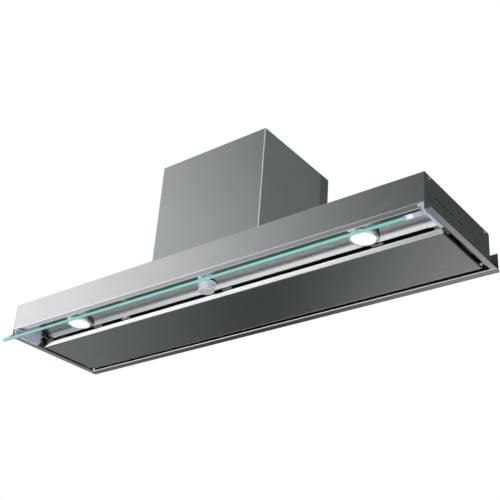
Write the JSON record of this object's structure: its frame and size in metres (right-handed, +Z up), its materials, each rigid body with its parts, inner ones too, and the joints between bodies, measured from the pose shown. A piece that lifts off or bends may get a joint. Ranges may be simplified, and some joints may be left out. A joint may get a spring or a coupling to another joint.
{
  "type": "built-in range hood",
  "caption": "Wide built-in extractor hood with a swing-out glass visor, perimeter suction panel, blower box and round duct outlet.",
  "frame": {"origin": "centre of the duct collar where it leaves its flange, on the blower box's top", "axes": "+Z up along the duct, +X to the hood's right seen from the front, +Y to the wall"},
  "size_m": [1.2, 0.3401, 0.4562],
  "materials": {
    "stainless": "brushed stainless steel, grain along the width",
    "galvanised": "zinc-coated sheet steel, satin",
    "panel_steel": "brushed stainless steel, darker in the shade",
    "reflector": "bright brushed stainless steel",
    "grey_plastic": "blue-grey moulded plastic",
    "white_plastic": "white moulded plastic",
    "black_plastic": "black moulded plastic",
    "knob_metal": "silver-coated plastic",
    "lamp_ring": "bright trim",
    "lens": "frosted lens",
    "visor_glass": "clear tempered glass with green edges",
    "aluminium": "satin aluminium",
    "mesh": "folded aluminium mesh",
    "zinc": "bright zinc plate",
    "fibre_board": "dark pressed-fibre board",
    "scroll_plastic": "grey moulded plastic"
  },
  "bodies": {
    "housing": {"front_panel": "stainless", "side_panel_left": "galvanised", "side_panel_right": "galvanised", "back_panel": "galvanised", "top_plate": "galvanised", "rear_filler": "stainless", "light_tray": "reflector", "tray_end_left": "reflector", "tray_end_right": "reflector", "visor_cheek_left": "grey_plastic", "visor_cheek_right": "grey_plastic", "lamp_bezel_left": "lamp_ring", "lamp_bezel_right": "lamp_ring", "lamp_lens_left": "lens", "lamp_lens_right": "lens", "lamp_body_left": "aluminium", "lamp_body_right": "aluminium", "knob_collar": "knob_metal", "rotary_switch": "black_plastic", "hinge_bracket_left": "zinc", "hinge_bracket_right": "zinc", "panel_catch_left": "black_plastic", "panel_catch_right": "black_plastic", "filter_deck": "galvanised", "filter_frame_left": "aluminium", "filter_frame_right": "aluminium", "filter_mesh_left": "mesh", "filter_mesh_right": "mesh", "box_cover": "galvanised", "box_rear": "galvanised", "box_top": "galvanised", "duct_collar": "black_plastic", "damper_pin": "zinc", "scroll_left": "scroll_plastic", "scroll_right": "scroll_plastic", "motor": "galvanised", "motor_bracket": "zinc", "control_box": "black_plastic", "control_lid": "grey_plastic", "cable_gland": "black_plastic", "body_screws": "zinc", "box_screws": "zinc"},
    "visor": {"visor_glass": "visor_glass", "visor_arm_left": "grey_plastic", "visor_arm_right": "grey_plastic", "glass_clip_left": "white_plastic", "glass_clip_right": "white_plastic"},
    "selector": {"knob": "knob_metal", "knob_shaft": "zinc"},
    "panel": {"suction_panel": "panel_steel", "sound_board": "fibre_board", "panel_strikers": "zinc", "panel_hinge_pins": "zinc"},
    "latch_left": {"filter_latch_left": "black_plastic"},
    "latch_right": {"filter_latch_right": "black_plastic"},
    "rotor": {"impeller": "aluminium", "motor_shaft": "zinc"},
    "flap_front": {"damper_flap_front": "white_plastic"},
    "flap_rear": {"damper_flap_rear": "white_plastic"}
  },
  "joints": [
    {"name": "visor_tilt", "type": "hinge", "parent": "housing", "child": "visor", "pos_m": [0, -0.159, -0.3775], "axis": [1, 0, 0], "range_deg": [0, 145.5]},
    {"name": "selector_turn", "type": "hinge", "parent": "housing", "child": "selector", "pos_m": [0, -0.105, -0.3745], "axis": [0, 0, 1], "range_deg": [0, 240]},
    {"name": "panel_swing", "type": "hinge", "parent": "housing", "child": "panel", "pos_m": [0, 0.084, -0.3725], "axis": [1, 0, 0], "range_deg": [0, 90]},
    {"name": "latch_left_slide", "type": "slide", "parent": "housing", "child": "latch_left", "axis": [0, 1, 0], "range_m": [0, 0.005], "stiffness_N_per_m": 300, "springref_m": -0.002},
    {"name": "latch_right_slide", "type": "slide", "parent": "housing", "child": "latch_right", "axis": [0, 1, 0], "range_m": [0, 0.005], "stiffness_N_per_m": 300, "springref_m": -0.002},
    {"name": "rotor_spin", "type": "hinge", "parent": "housing", "child": "rotor", "pos_m": [0, -0.041, -0.1735], "axis": [1, 0, 0], "continuous": true},
    {"name": "flap_front_lift", "type": "hinge", "parent": "housing", "child": "flap_front", "pos_m": [0, 0, 0.01075], "axis": [-1, 0, 0], "range_deg": [0, 80]},
    {"name": "flap_rear_lift", "type": "hinge", "parent": "housing", "child": "flap_rear", "pos_m": [0, 0, 0.01075], "axis": [1, 0, 0], "range_deg": [0, 80]}
  ]
}
